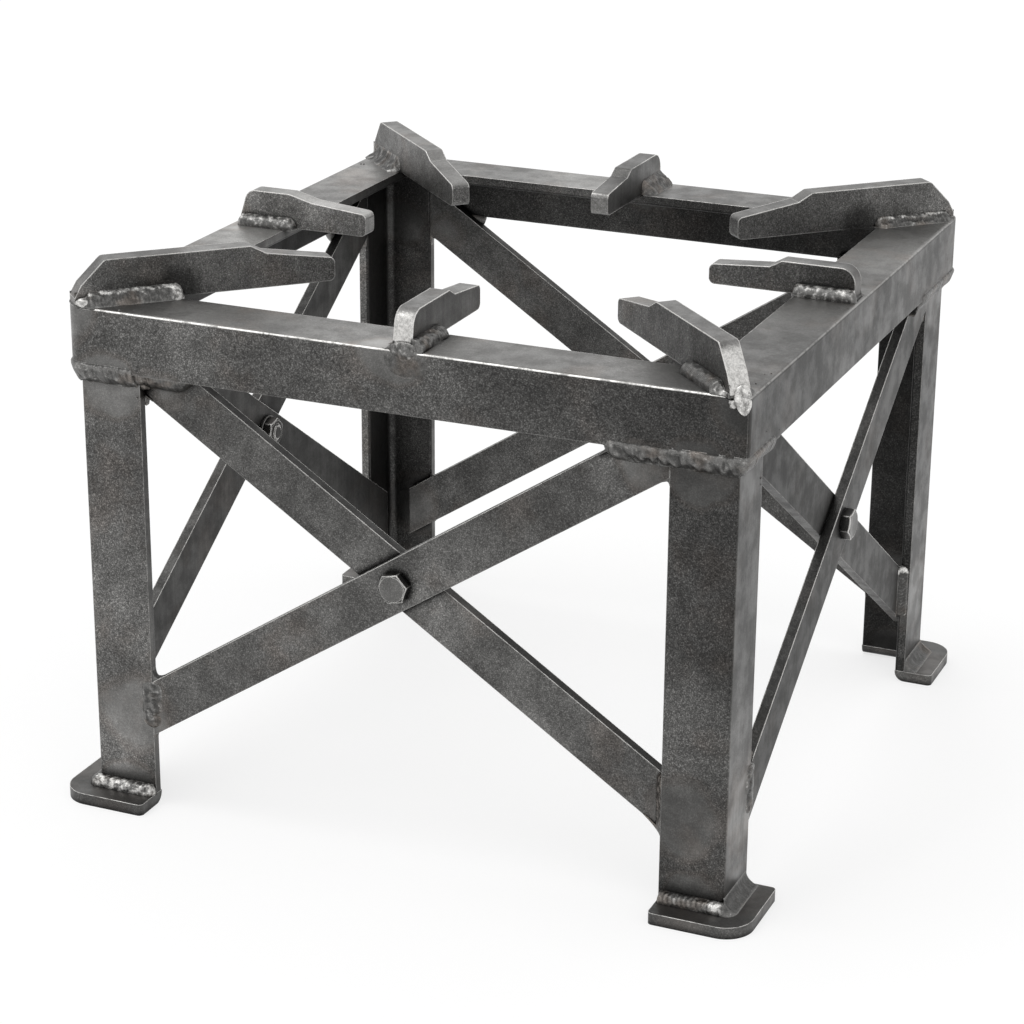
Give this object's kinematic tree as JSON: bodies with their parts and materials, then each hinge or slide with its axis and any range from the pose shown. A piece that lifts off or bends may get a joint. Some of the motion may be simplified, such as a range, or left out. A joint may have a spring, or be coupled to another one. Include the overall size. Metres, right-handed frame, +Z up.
{
  "type": "propane burner stand",
  "caption": "Square welded angle-iron stand with cross-braced legs, flat feet and raised flat bars on top that hold a brew kettle over a gas burner.",
  "frame": {"origin": "on the floor, under the middle of the square ring and of the four feet", "axes": "+Z up, +X to the right along the front rail, +Y to the back. The front is the side that the front rail and the front brace pair stand on"},
  "size_m": [0.4296, 0.4296, 0.33],
  "materials": {
    "angle_steel": "matte",
    "plate_steel": "matte",
    "brace_steel": "matte",
    "bar_steel": "matte",
    "bolt_steel": "satin",
    "washer_steel": "satin",
    "weld_metal": "satin"
  },
  "bodies": {
    "root": {"rail_front": "angle_steel", "rail_right": "angle_steel", "rail_back": "angle_steel", "rail_left": "angle_steel", "leg_front_left": "angle_steel", "leg_front_right": "angle_steel", "leg_back_right": "angle_steel", "leg_back_left": "angle_steel", "foot_front_left": "plate_steel", "foot_front_right": "plate_steel", "foot_back_right": "plate_steel", "foot_back_left": "plate_steel", "brace_front_outer": "brace_steel", "brace_right_outer": "brace_steel", "brace_back_outer": "brace_steel", "brace_left_outer": "brace_steel", "brace_front_inner": "brace_steel", "brace_right_inner": "brace_steel", "brace_back_inner": "brace_steel", "brace_left_inner": "brace_steel", "pot_bar_front_left": "bar_steel", "pot_bar_front_right": "bar_steel", "pot_bar_back_right": "bar_steel", "pot_bar_back_left": "bar_steel", "pot_bar_front": "bar_steel", "pot_bar_right": "bar_steel", "pot_bar_back": "bar_steel", "pot_bar_left": "bar_steel", "brace_bolts": "bolt_steel", "brace_washers": "washer_steel", "brace_nuts": "bolt_steel", "weld_foot_front_left": "weld_metal", "weld_foot_front_right": "weld_metal", "weld_foot_back_right": "weld_metal", "weld_foot_back_left": "weld_metal", "weld_ring_front_left": "weld_metal", "weld_ring_front_right": "weld_metal", "weld_ring_back_right": "weld_metal", "weld_ring_back_left": "weld_metal", "weld_bar_front_left": "weld_metal", "weld_bar_front_right": "weld_metal", "weld_bar_back_right": "weld_metal", "weld_bar_back_left": "weld_metal", "weld_bar_front": "weld_metal", "weld_bar_right": "weld_metal", "weld_bar_back": "weld_metal", "weld_bar_left": "weld_metal", "weld_brace_butt": "weld_metal", "weld_brace_corner": "weld_metal", "weld_brace_fill": "weld_metal"}
  },
  "joints": []
}
